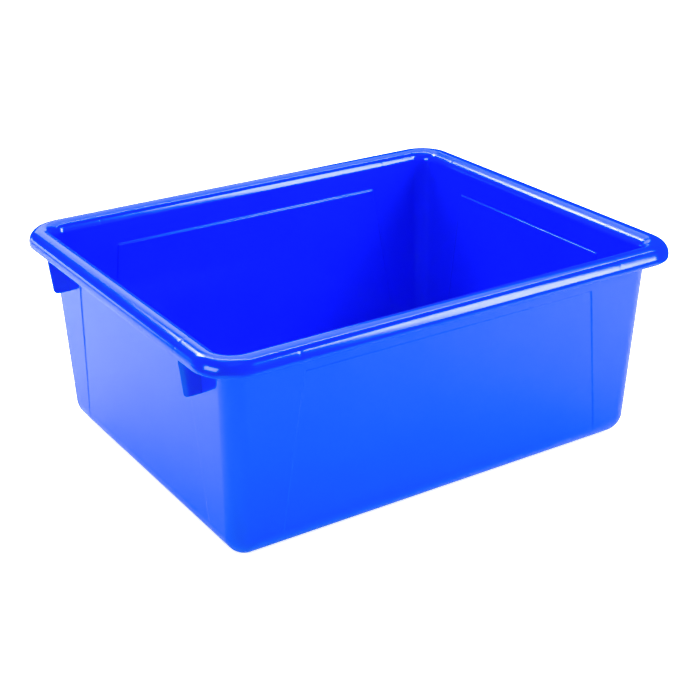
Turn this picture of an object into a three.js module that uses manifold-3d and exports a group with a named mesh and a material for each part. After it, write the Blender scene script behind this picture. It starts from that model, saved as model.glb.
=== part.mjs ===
// Open storage bin, moulded in one piece from glossy plastic: a flat floor, four drafted walls with a
// shallow trapezoid panel each, and a rolled rim with gussets under its short ends.
// Millimetres. X runs along the length, Y across it and Z up; the origin is the middle of the underside.
// Each mesh is one feature of the moulding, cut from its neighbours on flat planes.

import * as THREE from 'three';
import { mergeVertices } from 'three/addons/utils/BufferGeometryUtils.js';
import Module from 'manifold-3d';

// Overall size, over the rim
const LENGTH = 400;
const WIDTH = 329;
const HEIGHT = 163;

// Walls
const WALL = 2; // thickness everywhere
const END_DRAFT = THREE.MathUtils.degToRad(1.85); // lean of the short walls
const SIDE_DRAFT = THREE.MathUtils.degToRad(3.39); // lean of the long walls
const BASE_X = 177.4; // half length of the wall planes at floor level
const BASE_Y = 139.2; // half width of the wall planes at floor level
const CORNER_R = 15; // upright corners, outside
const TOE_R = 17; // rounding between walls and floor, outside
const SHARPEST_R = 1; // smallest corner radius of an outline

// Rim: a half-round roll, open underneath, with a short skirt
const RIM_CORNER_R = 30.5; // its outer corners, seen from above
const ROLL_R = 9.5; // outer half of the roll
const SKIRT_DEPTH = 12; // from the top of the rim to the skirt's lower edge

// Panels: pressed into the outside of each wall and standing proud inside
const PANEL_TOP = 136; // height of their top ledge
const PANEL_DEPTH_TOP = 0.9;
const PANEL_DEPTH_FOOT = 0.3;
const SIDE_PANEL_TOP = 123.5; // half widths of the long walls' panels
const SIDE_PANEL_FOOT = 142;
const END_PANEL_TOP = 88.5; // half widths of the short walls' panels
const END_PANEL_FOOT = 104;

// Thin plates under the rim
const PLATE = 2; // thickness
const GUSSET_Y = 109.5; // from the middle of the short ends
const GUSSET_FOOT = 121; // height of their lower edge
const GUSSET_LEAN = 3; // how far their outer edge comes in on the way down
const GUSSET_CORNER_R = 3.5;
const RIB_X = 136; // from the middle of the long sides
const RIB_FOOT = HEIGHT - SKIRT_DEPTH + 0.5;
const FIT_GAP = 0.3; // clearance between a plate and the surfaces around it

// Where the features meet
const SEAM_X = 160;
const SEAM_Y = 122;
const CORE_X = 187; // the walls lie inside this upright box and the rim outside it
const CORE_Y = 152.5;
const CORE_TOP = HEIGHT - ROLL_R;
const OUTSIDE = 260; // clear of everything

// Fineness
const CORNER_STEPS = 5; // each is two chords
const ROLL_STEPS = 6;
const TOE_STEPS = 5;

const BLUE = 0x0a32e6;

const wasm = await Module();
wasm.setup();

function plastic() {
  return new THREE.MeshStandardMaterial({ color: BLUE, roughness: 0.18, metalness: 0 });
}

// ---- solids from geometries and back

function toSolid(geometry) {
  const bare = geometry.clone();
  bare.deleteAttribute('normal');
  bare.deleteAttribute('uv');
  const welded = mergeVertices(bare, 1e-4);
  const vertProperties = new Float32Array(welded.attributes.position.array);
  const triVerts = new Uint32Array(welded.index.array);
  return new wasm.Manifold(new wasm.Mesh({ numProp: 3, vertProperties, triVerts }));
}

function toGeometry(solid) {
  const { vertProperties, triVerts } = solid.getMesh();
  const geometry = new THREE.BufferGeometry();
  geometry.setAttribute('position', new THREE.BufferAttribute(vertProperties, 3));
  geometry.setIndex(new THREE.BufferAttribute(triVerts, 1));
  geometry.computeVertexNormals();
  return geometry;
}

function block([x0, x1], [y0, y1], [z0, z1]) {
  const box = new THREE.BoxGeometry(x1 - x0, y1 - y0, z1 - z0);
  box.translate((x0 + x1) / 2, (y0 + y1) / 2, (z0 + z1) / 2);
  return toSolid(box);
}

// ---- the shell: rounded rectangles, one above or inside the other, joined into one closed skin

function wallX(z) {
  return BASE_X + z * Math.tan(END_DRAFT);
}

function wallY(z) {
  return BASE_Y + z * Math.tan(SIDE_DRAFT);
}

// A level of the skin: half length, half width and corner radius of the outline, and its height
function level(x, y, r, z) {
  return { x, y, r: Math.max(r, SHARPEST_R), z };
}

function outline({ x, y, r }) {
  const shape = new THREE.Shape();
  shape.absarc(x - r, y - r, r, 0, Math.PI / 2);
  shape.absarc(r - x, y - r, r, Math.PI / 2, Math.PI);
  shape.absarc(r - x, r - y, r, Math.PI, Math.PI * 1.5);
  shape.absarc(x - r, r - y, r, Math.PI * 1.5, Math.PI * 2);
  const points = shape.getPoints(CORNER_STEPS);
  const first = points[0];
  const last = points[points.length - 1];
  if (first.distanceTo(last) < 1e-6) points.pop();
  return points;
}

// Toe and wall, from the floor up to where the roll begins, set in by the wall's thickness or not
function wallLevels(inset) {
  const radius = TOE_R - inset;
  const levels = [];
  for (let i = 0; i <= TOE_STEPS; i++) {
    const angle = (Math.PI / 2) * (1 - i / TOE_STEPS);
    const z = TOE_R - radius * Math.sin(angle);
    const back = inset + radius * (1 - Math.cos(angle));
    levels.push(level(wallX(z) - back, wallY(z) - back, CORNER_R - back, z));
  }
  levels.push(level(wallX(CORE_TOP) - inset, wallY(CORE_TOP) - inset, CORNER_R - inset, CORE_TOP));
  return levels;
}

// The roll, from the top of the wall over the crown to the skirt, set in by the wall's thickness or not
function rollLevels(inset) {
  const crownX = LENGTH / 2 - ROLL_R;
  const crownY = WIDTH / 2 - ROLL_R;
  const crownR = RIM_CORNER_R - ROLL_R;
  const rise = ROLL_R - inset;
  const startX = wallX(CORE_TOP) - WALL + inset;
  const startY = wallY(CORE_TOP) - WALL + inset;
  const startR = CORNER_R - WALL + inset;
  const levels = [];
  for (let i = 1; i <= ROLL_STEPS; i++) {
    const angle = (Math.PI / 2) * (i / ROLL_STEPS);
    const across = 1 - Math.cos(angle);
    const x = THREE.MathUtils.lerp(startX, crownX, across);
    const y = THREE.MathUtils.lerp(startY, crownY, across);
    const r = THREE.MathUtils.lerp(startR, crownR, across);
    levels.push(level(x, y, r, CORE_TOP + rise * Math.sin(angle)));
  }
  for (let i = 1; i <= ROLL_STEPS; i++) {
    const angle = (Math.PI / 2) * (1 - i / ROLL_STEPS);
    const out = rise * Math.cos(angle);
    levels.push(level(crownX + out, crownY + out, crownR + out, CORE_TOP + rise * Math.sin(angle)));
  }
  levels.push(level(crownX + rise, crownY + rise, crownR + rise, HEIGHT - SKIRT_DEPTH));
  return levels;
}

function shellGeometry() {
  const outside = [...wallLevels(0), ...rollLevels(WALL)];
  const inside = [...wallLevels(WALL), ...rollLevels(0)];
  const levels = [...outside, ...inside.reverse()];
  const rings = levels.map(outline);
  const count = rings[0].length;
  const positions = rings.flatMap((ring, i) => ring.flatMap((p) => [p.x, p.y, levels[i].z]));
  const faces = [];
  for (let i = 0; i + 1 < rings.length; i++) {
    for (let j = 0; j < count; j++) {
      const a = i * count + j;
      const b = i * count + ((j + 1) % count);
      faces.push(a, b, b + count, a, b + count, a + count);
    }
  }
  const top = (rings.length - 1) * count;
  for (const [a, b, c] of THREE.ShapeUtils.triangulateShape(rings[0], [])) faces.push(a, c, b);
  for (const [a, b, c] of THREE.ShapeUtils.triangulateShape(rings.at(-1), [])) {
    faces.push(top + a, top + b, top + c);
  }
  const geometry = new THREE.BufferGeometry();
  geometry.setAttribute('position', new THREE.Float32BufferAttribute(positions, 3));
  geometry.setIndex(faces);
  return geometry;
}

// ---- panels

// A slab with the panel's outline whose outer face lies `depth` inside a wall face that is set in by
// `inset`: built along +X for a wall that faces +X, `thick` deep towards the outside
function panelSlab({ half, foot, base, draft, turn }, inset, thick) {
  const below = -TOE_R;
  const spread = (foot - half) / PANEL_TOP;
  const shape = new THREE.Shape([
    new THREE.Vector2(-foot + spread * below, below),
    new THREE.Vector2(foot - spread * below, below),
    new THREE.Vector2(half, PANEL_TOP),
    new THREE.Vector2(-half, PANEL_TOP),
  ]);
  const slab = new THREE.ExtrudeGeometry(shape, { depth: thick, bevelEnabled: false });
  slab.rotateX(Math.PI / 2);
  slab.rotateZ(Math.PI / 2);
  const rise = (PANEL_DEPTH_TOP - PANEL_DEPTH_FOOT) / PANEL_TOP;
  const lean = Math.tan(draft) - rise;
  const shear = new THREE.Matrix4().set(1, 0, lean, 0, 0, 1, 0, 0, 0, 0, 1, 0, 0, 0, 0, 1);
  slab.applyMatrix4(shear);
  slab.translate(base - inset - PANEL_DEPTH_FOOT, 0, 0);
  slab.rotateZ(turn);
  return toSolid(slab);
}

const sidePanel = { half: SIDE_PANEL_TOP, foot: SIDE_PANEL_FOOT, base: BASE_Y, draft: SIDE_DRAFT };
const endPanel = { half: END_PANEL_TOP, foot: END_PANEL_FOOT, base: BASE_X, draft: END_DRAFT };
const PANELS = {
  right_end: { ...endPanel, turn: 0 },
  back: { ...sidePanel, turn: Math.PI / 2 },
  left_end: { ...endPanel, turn: Math.PI },
  front: { ...sidePanel, turn: -Math.PI / 2 },
};

const PRESS = 6; // deep enough to clear the wall

function pressPanel(shell, panel) {
  const recess = panelSlab(panel, 0, PRESS);
  const pad = panelSlab(panel, WALL, WALL / 2).intersect(block(
    [-OUTSIDE, OUTSIDE], [-OUTSIDE, OUTSIDE], [TOE_R, HEIGHT]));
  return shell.add(pad).subtract(recess);
}

// ---- thin plates under the rim: the outline in a plane that runs outwards (u) and up (z)

function plateShape(wall, rim, foot, lean, cornerR) {
  const skirt = rim - WALL - FIT_GAP;
  const crown = rim - ROLL_R;
  const rise = ROLL_R - WALL - FIT_GAP;
  const inner = crown - wall(CORE_TOP) - FIT_GAP;
  const shape = new THREE.Shape();
  shape.moveTo(wall(foot) + FIT_GAP, foot);
  if (cornerR > 0) {
    const u = skirt - lean - cornerR;
    shape.absarc(u, foot + cornerR, cornerR, -Math.PI / 2, 0);
  } else {
    shape.lineTo(skirt, foot);
  }
  shape.absarc(crown, CORE_TOP, rise, 0, Math.PI / 2);
  shape.absellipse(crown, CORE_TOP, inner, rise, Math.PI / 2, Math.PI);
  return shape;
}

// Stands the outline upright in the plane y = along, pointing to +X
function plate(shape, along) {
  const geometry = new THREE.ExtrudeGeometry(shape, { depth: PLATE, bevelEnabled: false, curveSegments: 6 });
  geometry.rotateX(Math.PI / 2);
  geometry.translate(0, along + PLATE / 2, 0);
  return geometry;
}

const gussetShape = plateShape(wallX, LENGTH / 2, GUSSET_FOOT, GUSSET_LEAN, GUSSET_CORNER_R);
const ribShape = plateShape(wallY, WIDTH / 2, RIB_FOOT, 0, 0);

// ---- the bin

const bin = new THREE.Group();

function place(name, geometry) {
  const mesh = new THREE.Mesh(geometry, plastic());
  mesh.name = name;
  bin.add(mesh);
}

let shell = toSolid(shellGeometry());
for (const panel of Object.values(PANELS)) shell = pressPanel(shell, panel);

const core = block([-CORE_X, CORE_X], [-CORE_Y, CORE_Y], [-OUTSIDE, CORE_TOP]);
const walls = shell.intersect(core);
const rim = shell.subtract(core);

const alongX = { left: [-OUTSIDE, -SEAM_X], mid: [-SEAM_X, SEAM_X], right: [SEAM_X, OUTSIDE] };
const alongY = { front: [-OUTSIDE, -SEAM_Y], mid: [-SEAM_Y, SEAM_Y], back: [SEAM_Y, OUTSIDE] };
const CELLS = {
  front: ['mid', 'front'],
  back: ['mid', 'back'],
  left_end: ['left', 'mid'],
  right_end: ['right', 'mid'],
  front_left: ['left', 'front'],
  front_right: ['right', 'front'],
  back_left: ['left', 'back'],
  back_right: ['right', 'back'],
};

for (const [name, [i, j]] of Object.entries(CELLS)) {
  const cell = block(alongX[i], alongY[j], [-OUTSIDE, OUTSIDE]);
  const suffix = i !== 'mid' && j !== 'mid' ? '_corner' : '';
  place(`${name}_wall${suffix}`, toGeometry(walls.intersect(cell)));
  place(`${name}_rim${suffix}`, toGeometry(rim.intersect(cell)));
}
place('floor', toGeometry(walls.intersect(block(alongX.mid, alongY.mid, [-OUTSIDE, OUTSIDE]))));

for (const [end, turn] of [['right_end', 0], ['left_end', Math.PI]]) {
  for (const [side, sign] of [['front', -1], ['back', 1]]) {
    const gusset = plate(gussetShape, sign * GUSSET_Y * Math.cos(turn));
    place(`${end}_${side}_gusset`, gusset.rotateZ(turn));
  }
}
for (const [side, turn] of [['back', Math.PI / 2], ['front', -Math.PI / 2]]) {
  for (const [end, sign] of [['left', -1], ['right', 1]]) {
    const rib = plate(ribShape, -sign * RIB_X * Math.sin(turn));
    place(`${side}_${end}_rim_rib`, rib.rotateZ(turn));
  }
}

export default bin;
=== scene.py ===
"""An open storage bin, moulded in one piece from glossy blue plastic, on a pale studio floor.

The bin's skin is one grid. Its rows follow the wall's section: from the floor up the outside, along the
underside of the roll, round the skirt's edge, and back over the top of the roll and down the inside. Its
columns go round the bin. Each piece is a block of that grid, closed where it meets its neighbours, and
shares their normals there, so the moulding shows no joints. Metres; front is -Y and left is -X.
"""

import math

import bpy
import numpy as np
from mathutils import Matrix, Vector


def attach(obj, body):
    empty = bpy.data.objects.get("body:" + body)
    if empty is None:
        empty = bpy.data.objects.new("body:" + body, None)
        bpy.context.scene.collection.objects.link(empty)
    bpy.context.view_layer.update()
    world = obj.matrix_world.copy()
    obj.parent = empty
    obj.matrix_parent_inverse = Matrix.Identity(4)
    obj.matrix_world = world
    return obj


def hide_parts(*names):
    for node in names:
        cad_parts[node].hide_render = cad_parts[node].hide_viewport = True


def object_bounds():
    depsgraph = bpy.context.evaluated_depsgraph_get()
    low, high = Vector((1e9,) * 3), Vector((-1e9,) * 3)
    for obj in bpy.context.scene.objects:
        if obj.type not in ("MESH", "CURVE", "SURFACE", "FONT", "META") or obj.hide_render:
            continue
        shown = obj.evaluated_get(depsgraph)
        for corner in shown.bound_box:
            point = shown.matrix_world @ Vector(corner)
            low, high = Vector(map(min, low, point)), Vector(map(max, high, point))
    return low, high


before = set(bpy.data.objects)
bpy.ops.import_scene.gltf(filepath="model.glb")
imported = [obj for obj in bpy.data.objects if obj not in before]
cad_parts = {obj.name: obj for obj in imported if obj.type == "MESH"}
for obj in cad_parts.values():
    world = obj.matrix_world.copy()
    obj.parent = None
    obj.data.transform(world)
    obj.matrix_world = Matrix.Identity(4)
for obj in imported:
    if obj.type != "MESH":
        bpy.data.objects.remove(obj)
cad_low, cad_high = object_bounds()

# ---- the CAD model's driving dimensions

MM = 0.001
LENGTH = cad_high.x - cad_low.x
WIDTH = cad_high.y - cad_low.y
HEIGHT = cad_high.z - cad_low.z

WALL = 2 * MM
END_DRAFT = math.radians(1.85)
SIDE_DRAFT = math.radians(3.39)
BASE_X = 177.4 * MM
BASE_Y = 139.2 * MM
CORNER_R = 15 * MM
TOE_R = 17 * MM
SHARPEST_R = 1 * MM

RIM_CORNER_R = 30.5 * MM
ROLL_R = 9.5 * MM
SKIRT_DEPTH = 12 * MM
CORE_TOP = HEIGHT - ROLL_R
SEAM_X = 160 * MM
SEAM_Y = 122 * MM

PANEL_TOP = 136 * MM
PANEL_DEPTH_TOP = 0.9 * MM
PANEL_DEPTH_FOOT = 0.3 * MM
SIDE_PANEL_TOP, SIDE_PANEL_FOOT = 123.5 * MM, 142 * MM
END_PANEL_TOP, END_PANEL_FOOT = 88.5 * MM, 104 * MM

PLATE = 2 * MM
GUSSET_Y = 109.5 * MM
GUSSET_FOOT = 121 * MM
GUSSET_LEAN = 3 * MM
GUSSET_CORNER_R = 3.5 * MM
RIB_X = 136 * MM
RIB_FOOT = HEIGHT - SKIRT_DEPTH + 0.5 * MM

# ---- finer than the CAD model

STEP_HALF = 0.75 * MM  # half the width of a panel's rounded step
STEP_MARKS = (-1.6, -1, -0.6, -0.3, 0, 0.3, 0.6, 1, 1.6)  # rows and columns across it, in half widths
SINK_DEPTH = 0.08 * MM  # marks on the roll over each plate, left as the plastic shrank
SINK_HALF = 2.2 * MM
SINK_FADE = 4 * MM  # height over which a mark fades in from the skirt's edge
EMBED = 0.6 * MM  # how far a plate runs into the surface that it is moulded to
PLATE_EDGE_R = 0.4 * MM
PLATE_EDGE_ANGLE = math.radians(50)  # edges sharper than this are rounded
GATE_R = 14 * MM  # shallow dish in the underside, round the stub where the plastic came in
GATE_DEPTH = 0.6 * MM
GATE_SLOPE = 1.5 * MM
STUB_R = 2 * MM
STUB_RISE = 0.4 * MM
STUB_FOOT = 0.3 * MM  # flat ring between the dish's slope and the stub
STUB_EDGE = 0.1 * MM

CORNER_CLEAR = 2 * MM  # least distance from a seam to where the corner begins to turn
CORNER_NEAR = 0.5 * MM  # a column this close to each end of a corner's arc

CORNER_STEPS = 28
CORNER_EXTRA = 6  # cells between a corner's arc and the seams on its two sides
ROLL_STEPS = 20
TOE_STEPS = 16
EDGE_STEPS = 6
PLAIN_STEPS = 9
SINK_STEPS = 13
PLATE_STEPS = 9
FLOOR_RINGS = 12
DISH_RINGS = 7

# ---- camera

CAMERA_AZIMUTH = math.radians(-32.48)
CAMERA_ELEVATION = math.radians(24.28)
CAMERA_ROLL = math.radians(-0.74)
CAMERA_DISTANCE = 1.17301
CAMERA_AIM = Vector((6.85, 2.84, 62.12)) * MM
CAMERA_LENS = 75.52  # millimetres
CAMERA_SENSOR = 36


def add_camera():
    a, e = CAMERA_AZIMUTH, CAMERA_ELEVATION
    back = Vector((math.sin(a) * math.cos(e), -math.cos(a) * math.cos(e), math.sin(e)))
    right = Vector((math.cos(a), math.sin(a), 0))
    up = back.cross(right)
    turn = Matrix((right, up, back)).transposed() @ Matrix.Rotation(CAMERA_ROLL, 3, "Z")
    data = bpy.data.cameras.new("camera")
    data.lens = CAMERA_LENS
    data.sensor_width = CAMERA_SENSOR
    camera = bpy.data.objects.new("camera", data)
    camera.matrix_world = Matrix.Translation(CAMERA_AIM + back * CAMERA_DISTANCE) @ turn.to_4x4()
    bpy.context.scene.collection.objects.link(camera)
    bpy.context.scene.camera = camera


# ---- the section: levels of half length, half width, corner radius and height


def wall_x(z):
    return BASE_X + z * math.tan(END_DRAFT)


def wall_y(z):
    return BASE_Y + z * math.tan(SIDE_DRAFT)


def toe_and_wall(inset):
    """Levels from the floor's edge up to where the roll begins, set in by the wall's thickness or not."""
    radius = TOE_R - inset
    levels = []
    for angle in np.linspace(math.pi / 2, 0, TOE_STEPS + 1):
        z = TOE_R - radius * math.sin(angle)
        back = inset + radius * (1 - math.cos(angle))
        levels.append((wall_x(z) - back, wall_y(z) - back, max(CORNER_R - back, SHARPEST_R), z))
    near_toe = [TOE_R + 0.6 * MM]
    climb = list(np.linspace(TOE_R + 8 * MM, PANEL_TOP - 8 * MM, PLAIN_STEPS))
    step = [PANEL_TOP + STEP_HALF * mark for mark in STEP_MARKS]
    near_roll = [CORE_TOP - 5 * MM, CORE_TOP - 0.6 * MM, CORE_TOP]
    for z in near_toe + climb + step + near_roll:
        levels.append((wall_x(z) - inset, wall_y(z) - inset, CORNER_R - inset, z))
    return levels


def roll(inset):
    """Levels from the top of the wall over the crown to just above the skirt's edge."""
    crown_x = LENGTH / 2 - ROLL_R
    crown_y = WIDTH / 2 - ROLL_R
    crown_r = RIM_CORNER_R - ROLL_R
    rise = ROLL_R - inset
    start = Vector((wall_x(CORE_TOP), wall_y(CORE_TOP), CORNER_R)) - Vector((1, 1, 1)) * (WALL - inset)
    crown = Vector((crown_x, crown_y, crown_r))
    levels = []
    for angle in np.linspace(0, math.pi / 2, ROLL_STEPS + 1)[1:]:
        x, y, r = start.lerp(crown, 1 - math.cos(angle))
        levels.append((x, y, r, CORE_TOP + rise * math.sin(angle)))
    for angle in np.linspace(math.pi / 2, 0, ROLL_STEPS + 1)[1:]:
        out = rise * math.cos(angle)
        levels.append((crown_x + out, crown_y + out, crown_r + out, CORE_TOP + rise * math.sin(angle)))
    edge_z = HEIGHT - SKIRT_DEPTH + WALL / 2
    for z in (CORE_TOP - 0.5 * MM, edge_z + 0.2 * MM, edge_z):
        levels.append((crown_x + rise, crown_y + rise, crown_r + rise, z))
    return levels


def skirt_edge():
    """The skirt's rounded lower edge, from its inner face to its outer one."""
    middle = WALL / 2
    levels = []
    for angle in np.linspace(math.pi, 2 * math.pi, EDGE_STEPS + 1)[1:-1]:
        out = middle * math.cos(angle) - middle
        z = HEIGHT - SKIRT_DEPTH + middle * (1 + math.sin(angle))
        levels.append((LENGTH / 2 + out, WIDTH / 2 + out, RIM_CORNER_R + out, z))
    return levels


outside = toe_and_wall(0)
underside = roll(WALL)
inside = toe_and_wall(WALL)
topside = roll(0)
half_section = outside + underside
LEVELS = half_section + skirt_edge() + (inside + topside)[::-1]
WALL_ROWS = len(outside)  # rows of each skin that belong to the wall; the rest are the rim's
SKIN_ROWS = len(half_section)
ROWS = len(LEVELS)


# ---- the plan: columns round the bin, as places along each straight side and angles at each corner


def side_stations(seam, panel_top, rib):
    """Distances from the middle of a side at the rim, closest together at the panel's edge and the rib."""
    plain = list(np.linspace(0, panel_top - 4 * MM, PLAIN_STEPS))
    step = [panel_top + STEP_HALF * mark for mark in STEP_MARKS]
    sink = [rib + SINK_HALF * mark for mark in np.linspace(-2, 2, SINK_STEPS)]
    half = plain + step + sink + [seam]
    return np.array([-s for s in reversed(half[1:])] + half)


SIDE_STATIONS = side_stations(SEAM_X, SIDE_PANEL_TOP, RIB_X)
END_STATIONS = side_stations(SEAM_Y, END_PANEL_TOP, GUSSET_Y)


def smooth_step(value):
    t = np.clip(value, 0, 1)
    return t * t * (3 - 2 * t)


def panel_half(top, foot, z):
    return foot + (top - foot) * min(z, PANEL_TOP) / PANEL_TOP


def side_points(stations, seam, top, foot, tangent, z):
    """The stations at one height: those next to the panel's edge follow its slope."""
    edge = panel_half(top, foot, z)
    near = STEP_MARKS[-1] * STEP_HALF
    marks = [0, top - near, top + near, seam]
    places = [0, edge - near, edge + near, min(seam, tangent - CORNER_CLEAR)]
    return np.sign(stations) * np.interp(np.abs(stations), marks, places)


def panel_press(along, top, foot, z):
    """How far a wall is pressed in at each point of a row."""
    edge = panel_half(top, foot, z)
    depth = PANEL_DEPTH_FOOT + (PANEL_DEPTH_TOP - PANEL_DEPTH_FOOT) * z / PANEL_TOP
    across = smooth_step((edge + STEP_HALF - np.abs(along)) / (2 * STEP_HALF))
    below = smooth_step((PANEL_TOP + STEP_HALF - z) / (2 * STEP_HALF))
    return depth * across * below * smooth_step((z - TOE_R / 3) / TOE_R)


def quarter(x, y, r, z, side, end):
    """One row from the middle of a long side round a corner to the middle of a short one.

    The long side lies at +y and the short one at +x here; the caller turns and mirrors it.
    """
    s = side_points(side, SEAM_X, SIDE_PANEL_TOP, SIDE_PANEL_FOOT, x - r, z)
    e = side_points(end, SEAM_Y, END_PANEL_TOP, END_PANEL_FOOT, y - r, z)
    long_side = np.column_stack([s, y - panel_press(s, SIDE_PANEL_TOP, SIDE_PANEL_FOOT, z)])
    short_side = np.column_stack([x - panel_press(e, END_PANEL_TOP, END_PANEL_FOOT, z), e])
    centre_x, centre_y = x - r, y - r
    angles = np.linspace(math.pi / 2, 0, CORNER_STEPS + 1)
    arc = np.column_stack([centre_x + r * np.cos(angles), centre_y + r * np.sin(angles)])
    before = [[s[-1] + (centre_x - s[-1]) * 0.5, y], [max(centre_x - CORNER_NEAR, s[-1]), y]]
    after = [[x, max(centre_y - CORNER_NEAR, e[-1])], [x, e[-1] + (centre_y - e[-1]) * 0.5]]
    return np.vstack([long_side, before, arc, after, short_side[::-1]])


def row_points(level):
    """One whole row: clockwise from the middle of the back, seen from above."""
    x, y, r, z = level
    side = SIDE_STATIONS[SIDE_STATIONS >= 0]
    end = END_STATIONS[END_STATIONS >= 0]
    back_right = quarter(x, y, r, z, side, end)
    right_front = (back_right * [1, -1])[::-1][1:]
    front_left = (back_right * [-1, -1])[1:]
    left_back = (back_right * [-1, 1])[::-1][1:-1]
    ring = np.vstack([back_right, right_front, front_left, left_back])
    return np.column_stack([ring, np.full(len(ring), z)])


grid = np.array([row_points(level) for level in LEVELS])
COLUMNS = grid.shape[1]

# The columns of the eight cells, neighbours sharing the column on their seam
side_half = (len(SIDE_STATIONS) - 1) // 2
end_half = (len(END_STATIONS) - 1) // 2
corner_span = CORNER_STEPS + CORNER_EXTRA
SPANS = {}
column = -side_half
for cell, span in (
    ("back", 2 * side_half),
    ("back_right", corner_span),
    ("right_end", 2 * end_half),
    ("front_right", corner_span),
    ("front", 2 * side_half),
    ("front_left", corner_span),
    ("left_end", 2 * end_half),
    ("back_left", corner_span),
):
    SPANS[cell] = np.arange(column, column + span + 1) % COLUMNS
    column += span


def unit(vectors):
    return vectors / np.maximum(np.linalg.norm(vectors, axis=-1, keepdims=True), 1e-12)


def grid_normals(points):
    """Normals that halve the angle between the cells around each point, whatever the cells' sizes."""
    ahead = unit(np.roll(points, -1, axis=1) - points)
    around = unit(ahead + np.roll(ahead, 1, axis=1))
    down = unit(points[1:] - points[:-1])
    along = np.empty_like(points)
    along[1:-1] = unit(down[1:] + down[:-1])
    along[0] = unit(down[0] * [1, 1, 0])
    along[-1] = unit(down[-1] * [1, 1, 0])
    return unit(np.cross(along, around))


def sink_marks(points, normals):
    """Presses the top of the roll in a little over each gusset and rib."""
    top = slice(SKIN_ROWS, ROWS - WALL_ROWS)
    x, y = np.abs(points[top, :, 0]), np.abs(points[top, :, 1])
    on_end = points[top, :, 0] ** 2 / LENGTH**2 > points[top, :, 1] ** 2 / WIDTH**2
    off = np.where(on_end, y - GUSSET_Y, x - RIB_X)
    fade = smooth_step((points[top, :, 2] - (HEIGHT - SKIRT_DEPTH)) / SINK_FADE)
    press = SINK_DEPTH * np.exp(-((off / (SINK_HALF / 2)) ** 2)) * fade
    pressed = points.copy()
    pressed[top] -= normals[top] * press[..., None]
    return pressed


grid = sink_marks(grid, grid_normals(grid))
normals = grid_normals(grid)


# ---- meshes


def add_piece(name, points, faces, face_normals, material):
    """Makes a mesh object that stands for the CAD node of the same name."""
    mesh = bpy.data.meshes.new(name)
    mesh.from_pydata([tuple(p) for p in points], [], faces)
    mesh.polygons.foreach_set("use_smooth", [True] * len(faces))
    if face_normals is not None:
        mesh.normals_split_custom_set([tuple(n) for corners in face_normals for n in corners])
    mesh.materials.append(material)
    piece = bpy.data.objects.new(f"moulded_{name}", mesh)
    bpy.context.scene.collection.objects.link(piece)
    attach(piece, "root")
    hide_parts(name)
    return piece


def flat_normal(points):
    edges = np.cross(points[1:-1] - points[0], points[2:] - points[0])
    return unit(edges.sum(axis=0))


def add_block(name, rows, columns, material):
    """A closed piece of the grid: its rows make a closed section, swept along its columns."""
    count = len(rows)
    block = grid[np.ix_(rows, columns)]
    skin = normals[np.ix_(rows, columns)]
    points = block.transpose(1, 0, 2).reshape(-1, 3)
    smooth = skin.transpose(1, 0, 2).reshape(-1, 3)
    faces, corners = [], []
    for c in range(len(columns) - 1):
        for r in range(count):
            after = (r + 1) % count
            face = [c * count + r, c * count + after, (c + 1) * count + after, (c + 1) * count + r]
            faces.append(face)
            if abs(rows[after] - rows[r]) == 1:
                corners.append(smooth[face])
            else:
                corners.append([flat_normal(points[face])] * 4)
    for first, flip in ((0, True), ((len(columns) - 1) * count, False)):
        for r in range(count // 2):
            face = [first + r, first + r + 1, first + count - 2 - r, first + count - 1 - r]
            face = list(dict.fromkeys(face))
            if len(face) < 3:
                continue
            face = face[::-1] if flip else face
            faces.append(face)
            corners.append([flat_normal(points[face])] * len(face))
    return add_piece(name, points, faces, corners, material)


def add_floor(material):
    """The floor inside the toe: rings from its edge to a round dish under the middle, top and bottom."""
    rim = grid[0][:, :2]
    angles = np.arctan2(rim[:, 1], rim[:, 0])
    circle = np.column_stack([np.cos(angles), np.sin(angles)])
    shrink = [(rim * (1 - t) + circle * GATE_R * t, 0) for t in np.linspace(0, 1, FLOOR_RINGS)]
    dish = []
    for t in np.linspace(0, 1, DISH_RINGS)[1:]:
        dish.append((circle * (GATE_R - GATE_SLOPE * t), GATE_DEPTH * smooth_step(t)))
    stub_z = GATE_DEPTH - STUB_RISE
    dish.append((circle * (STUB_R + STUB_FOOT), GATE_DEPTH))
    dish.append((circle * STUB_R, GATE_DEPTH))
    dish.append((circle * (STUB_R - STUB_EDGE), stub_z + STUB_EDGE))
    dish.append((circle * (STUB_R - STUB_FOOT), stub_z))
    below = [np.column_stack([xy, np.full(len(xy), z)]) for xy, z in shrink + dish]
    inner = grid[-1]
    above = []
    for t in np.linspace(0, 1, FLOOR_RINGS):
        xy = inner[:, :2] * (1 - t) + circle * STUB_R * t
        above.append(np.column_stack([xy, np.full(len(xy), WALL)]))
    rings = below[::-1] + above
    count = len(rim)
    points = np.vstack(rings)
    faces = [list(range(count))]
    for i in range(len(rings) - 1):
        for j in range(count):
            k = (j + 1) % count
            faces.append([i * count + j, (i + 1) * count + j, (i + 1) * count + k, i * count + k])
    faces.append([(len(rings) - 1) * count + j for j in reversed(range(count))])
    piece = add_piece("floor", points, faces, None, material)
    piece.data.polygons.foreach_set("use_smooth", [False] * len(faces))
    return piece


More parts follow.
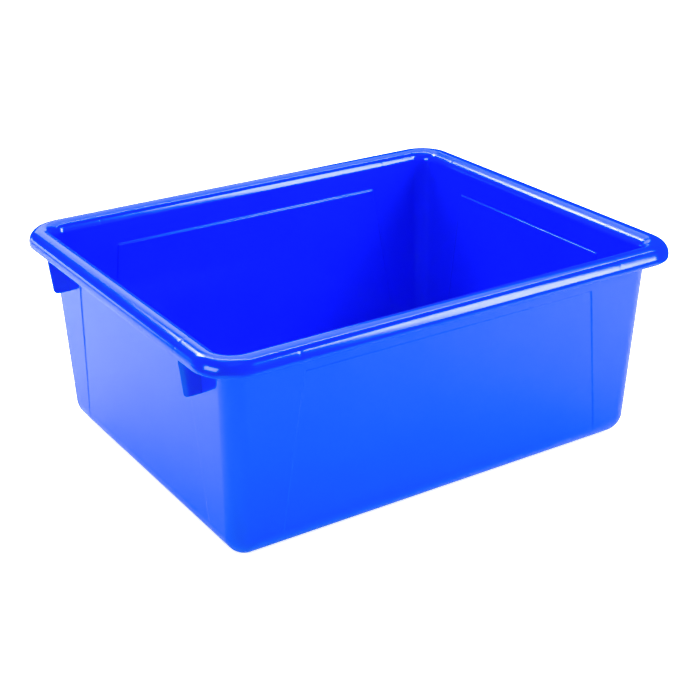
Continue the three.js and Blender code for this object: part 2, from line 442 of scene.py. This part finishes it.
def plate_outline(wall, rim, foot, lean, corner_r):
    """A plate's outline as distances from the middle (u) and heights (z), run into what it's moulded to."""
    skirt = rim - WALL + EMBED
    crown = rim - ROLL_R
    rise = ROLL_R - WALL + EMBED
    outline = [(wall(CORE_TOP) - EMBED, CORE_TOP), (wall(foot) - EMBED, foot)]
    if corner_r > 0:
        u = rim - WALL - lean - corner_r
        for angle in np.linspace(-math.pi / 2, 0, PLATE_STEPS):
            outline.append((u + corner_r * math.cos(angle), foot + corner_r * (1 + math.sin(angle))))
        outline.append((rim - WALL - 0.1 * MM, RIB_FOOT))
    outline.append((skirt, RIB_FOOT))
    for angle in np.linspace(0, math.pi / 2, PLATE_STEPS):
        outline.append((crown + rise * math.cos(angle), CORE_TOP + rise * math.sin(angle)))
    inner = crown - wall(CORE_TOP) + EMBED
    for angle in np.linspace(math.pi / 2, math.pi, PLATE_STEPS)[1:-1]:
        outline.append((crown + inner * math.cos(angle), CORE_TOP + rise * math.sin(angle)))
    return outline


def add_plate(name, outline, along, turn, material):
    """A plate with rounded edges, upright in the plane y = along and pointing to +X, then turned."""
    count = len(outline)
    spin = Matrix.Rotation(turn, 3, "Z")
    points = []
    for y in (along - PLATE / 2, along + PLATE / 2):
        points += [spin @ Vector((u, y, z)) for u, z in outline]
    faces = [list(range(count)), list(range(2 * count - 1, count - 1, -1))]
    for j in range(count):
        k = (j + 1) % count
        faces.append([j, count + j, count + k, k])
    piece = add_piece(name, points, faces, None, material)
    bevel = piece.modifiers.new("rounded edges", "BEVEL")
    bevel.width = PLATE_EDGE_R
    bevel.segments = 3
    bevel.limit_method = "ANGLE"
    bevel.angle_limit = PLATE_EDGE_ANGLE
    bevel.harden_normals = True
    return piece


# ---- the plastic


def node(tree, kind, **values):
    """Adds a shader node, with each value on its property or, failing that, on its input."""
    made = tree.nodes.new(kind)
    for key, value in values.items():
        if hasattr(made, key):
            setattr(made, key, value)
        else:
            made.inputs[key.replace("_", " ").title()].default_value = value
    return made


def bin_plastic():
    material = bpy.data.materials.new("bin_plastic")
    material.use_nodes = True
    tree = material.node_tree
    link = tree.links.new
    shader = tree.nodes["Principled BSDF"]
    shader.inputs["IOR"].default_value = 1.5
    shader.inputs["Specular IOR Level"].default_value = 0.9
    place = node(tree, "ShaderNodeTexCoord")

    # Pigment: slow drifts of colour along the flow of the plastic
    drift = node(tree, "ShaderNodeTexNoise", scale=9.0, detail=3.0)
    link(place.outputs["Object"], drift.inputs["Vector"])
    blues = node(tree, "ShaderNodeValToRGB")
    blues.color_ramp.elements[0].position = 0.35
    blues.color_ramp.elements[0].color = (0.013, 0.0175, 0.88, 1)
    blues.color_ramp.elements[1].position = 0.65
    blues.color_ramp.elements[1].color = (0.015, 0.0210, 0.94, 1)
    link(drift.outputs["Fac"], blues.inputs["Fac"])
    link(blues.outputs["Color"], shader.inputs["Base Color"])

    # Gloss: some patches a little duller than the rest
    patch = node(tree, "ShaderNodeTexNoise", scale=40.0, detail=5.0, roughness=0.6)
    link(place.outputs["Object"], patch.inputs["Vector"])
    gloss = node(tree, "ShaderNodeMapRange")
    gloss.inputs["From Min"].default_value = 0.3
    gloss.inputs["From Max"].default_value = 0.7
    gloss.inputs["To Min"].default_value = 0.13
    gloss.inputs["To Max"].default_value = 0.19
    link(patch.outputs["Fac"], gloss.inputs["Value"])
    link(gloss.outputs["Result"], shader.inputs["Roughness"])

    # Surface: the fine peel of a polished mould, on slow waves where the walls cooled unevenly
    peel = node(tree, "ShaderNodeTexNoise", scale=420.0, detail=2.0)
    link(place.outputs["Object"], peel.inputs["Vector"])
    wave = node(tree, "ShaderNodeTexNoise", scale=14.0, detail=1.0)
    link(place.outputs["Object"], wave.inputs["Vector"])
    wave_bump = node(tree, "ShaderNodeBump", strength=0.2, distance=0.0008)
    link(wave.outputs["Fac"], wave_bump.inputs["Height"])
    peel_bump = node(tree, "ShaderNodeBump", strength=0.12, distance=0.0001)
    link(peel.outputs["Fac"], peel_bump.inputs["Height"])
    link(wave_bump.outputs["Normal"], peel_bump.inputs["Normal"])
    link(peel_bump.outputs["Normal"], shader.inputs["Normal"])
    return material


# ---- the studio


def add_light(name, place, aim, size, radiance, mirrored=True):
    """A rectangular softbox of the wanted radiance, which the plastic mirrors or not."""
    data = bpy.data.lights.new(name, "AREA")
    data.shape = "RECTANGLE"
    data.size, data.size_y = size
    data.energy = radiance * math.pi * size[0] * size[1]
    light = bpy.data.objects.new(name, data)
    light.location = place
    light.rotation_euler = (Vector(aim) - Vector(place)).to_track_quat("-Z", "Y").to_euler()
    light.visible_camera = False
    light.visible_glossy = mirrored
    bpy.context.scene.collection.objects.link(light)
    return light


SHEET_DROP = 0.2 * MM  # the sheets lie this far under the bin, and the floor as far again


def add_sheet(name, length, width, z, centre=(0, 0)):
    """A flat, level rectangle of the stage."""
    x, y = length / 2, width / 2
    mesh = bpy.data.meshes.new(name)
    mesh.from_pydata([(-x, -y, 0), (x, -y, 0), (x, y, 0), (-x, y, 0)], [], [(0, 1, 2, 3)])
    stage = bpy.data.objects.new(name, mesh)
    stage.location = (*centre, z)
    bpy.context.scene.collection.objects.link(stage)
    return stage


RED_CURVE = (
    (0, 0),
    (0.02, 0.007),
    (0.08, 0.009),
    (0.12, 0.015),
    (0.16, 0.05),
    (0.22, 0.115),
    (0.3, 0.2),
    (0.5, 0.38),
    (0.7, 0.62),
    (1, 1),
)


def grade():
    """A camera's rendering of a blue deeper than its red channel can record."""
    view = bpy.context.scene.view_settings
    view.view_transform = "Standard"
    view.use_curve_mapping = True
    red = view.curve_mapping.curves[0]
    red.points[0].location, red.points[-1].location = RED_CURVE[0], RED_CURVE[-1]
    for x, y in RED_CURVE[1:-1]:
        red.points.new(x, y)
    view.curve_mapping.update()


def add_world():
    """A dim room, which the camera itself sees as white."""
    world = bpy.data.worlds.new("studio")
    bpy.context.scene.world = world
    world.use_nodes = True
    tree = world.node_tree
    dim = tree.nodes["Background"]
    dim.inputs["Color"].default_value = (0.9, 0.95, 1, 1)
    dim.inputs["Strength"].default_value = 0.12
    white = tree.nodes.new("ShaderNodeBackground")
    white.inputs["Color"].default_value = (1, 1, 1, 1)
    mix = tree.nodes.new("ShaderNodeMixShader")
    rays = tree.nodes.new("ShaderNodeLightPath")
    tree.links.new(rays.outputs["Is Camera Ray"], mix.inputs["Fac"])
    tree.links.new(dim.outputs["Background"], mix.inputs[1])
    tree.links.new(white.outputs["Background"], mix.inputs[2])
    tree.links.new(mix.outputs["Shader"], tree.nodes["World Output"].inputs["Surface"])


def add_lights():
    bin_top = (0, 0, HEIGHT)
    add_light("right softbox", (1.04, -1.39, 0.76), bin_top, (0.52, 1.35), 9)
    add_light("left softbox", (-1.69, -0.28, 0.63), bin_top, (1.0, 0.72), 5)
    add_light("backdrop panel", (-1.5, 2.9, 0.32), bin_top, (1.1, 0.5), 3)
    add_light("panel behind", (0.45, 1.9, 0.95), bin_top, (1.3, 0.75), 1.7)
    add_light("high softbox", (-0.38, 1.33, 1.38), bin_top, (0.6, 0.4), 8.5)
    add_light("overhead panel", (0.5, 1.05, 1.7), (0.5, 1.05, 0), (2.0, 1.9), 1.7)
    add_light("overhead strip along the front", (0.95, -0.13, 1.66), (0.95, -0.13, 0), (1.3, 0.08), 17)
    back_strip = add_light("overhead strip to the back", (-0.3, 1.0, 1.66), (-0.3, 1.0, 0), (2.4, 0.1), 10)
    back_strip.rotation_euler.z = math.atan2(2.1, -1.25)
    add_light("fill", (-0.5, -0.6, 2.0), (0.05, 0.05, 0.1), (1.0, 1.0), 3, mirrored=False)
    add_light("pool at the right", (0.5, -0.5, 0.5), (0.5, -0.5, 0), (0.35, 0.35), 8, mirrored=False)
    add_light("pool behind", (-0.5, 0.5, 0.5), (-0.5, 0.5, 0), (0.35, 0.35), 7, mirrored=False)


def studio_paper():
    """White paper that glows for the camera and much less for the plastic."""
    paper = bpy.data.materials.new("studio_paper")
    paper.use_nodes = True
    tree = paper.node_tree
    surface = tree.nodes["Principled BSDF"]
    surface.inputs["Base Color"].default_value = (0.86, 0.86, 0.87, 1)
    surface.inputs["Roughness"].default_value = 0.8
    surface.inputs["Specular IOR Level"].default_value = 0.1
    surface.inputs["Emission Color"].default_value = (1, 1, 1, 1)
    glow = tree.nodes.new("ShaderNodeMapRange")
    glow.inputs["To Min"].default_value = 0.1
    glow.inputs["To Max"].default_value = 0.8
    rays = tree.nodes.new("ShaderNodeLightPath")
    tree.links.new(rays.outputs["Is Camera Ray"], glow.inputs["Value"])
    tree.links.new(glow.outputs["Result"], surface.inputs["Emission Strength"])
    return paper


def add_stage():
    """A wide floor that the plastic doesn't mirror, and just above it the two sheets that it does."""
    paper = studio_paper()
    sheet_z = cad_low.z - SHEET_DROP
    floor = add_sheet("studio_floor", 16, 16, cad_low.z - 2 * SHEET_DROP)
    floor.visible_glossy = False
    under = add_sheet("paper", 1.05, 0.98, sheet_z)
    behind = add_sheet("paper_behind", 3.0, 1.6, sheet_z, (0, 1.3))
    for stage in (floor, under, behind):
        stage.data.materials.append(paper)


# ---- the bin


def add_bin():
    plastic = bin_plastic()
    wall_rows = list(range(WALL_ROWS)) + list(range(ROWS - WALL_ROWS, ROWS))
    rim_rows = list(range(WALL_ROWS - 1, ROWS - WALL_ROWS + 1))
    for name, columns in SPANS.items():
        suffix = "_corner" if len(columns) == corner_span + 1 else ""
        add_block(f"{name}_wall{suffix}", wall_rows, columns, plastic)
        add_block(f"{name}_rim{suffix}", rim_rows, columns, plastic)
    add_floor(plastic)
    gusset = plate_outline(wall_x, LENGTH / 2, GUSSET_FOOT, GUSSET_LEAN, GUSSET_CORNER_R)
    rib = plate_outline(wall_y, WIDTH / 2, RIB_FOOT, 0, 0)
    for end, turn in (("right_end", 0), ("left_end", math.pi)):
        for side, sign in (("front", -1), ("back", 1)):
            add_plate(f"{end}_{side}_gusset", gusset, sign * GUSSET_Y * math.cos(turn), turn, plastic)
    for side, turn in (("back", math.pi / 2), ("front", -math.pi / 2)):
        for end, sign in (("left", -1), ("right", 1)):
            add_plate(f"{side}_{end}_rim_rib", rib, -sign * RIB_X * math.sin(turn), turn, plastic)


add_camera()
add_bin()
add_world()
add_lights()
add_stage()
grade()
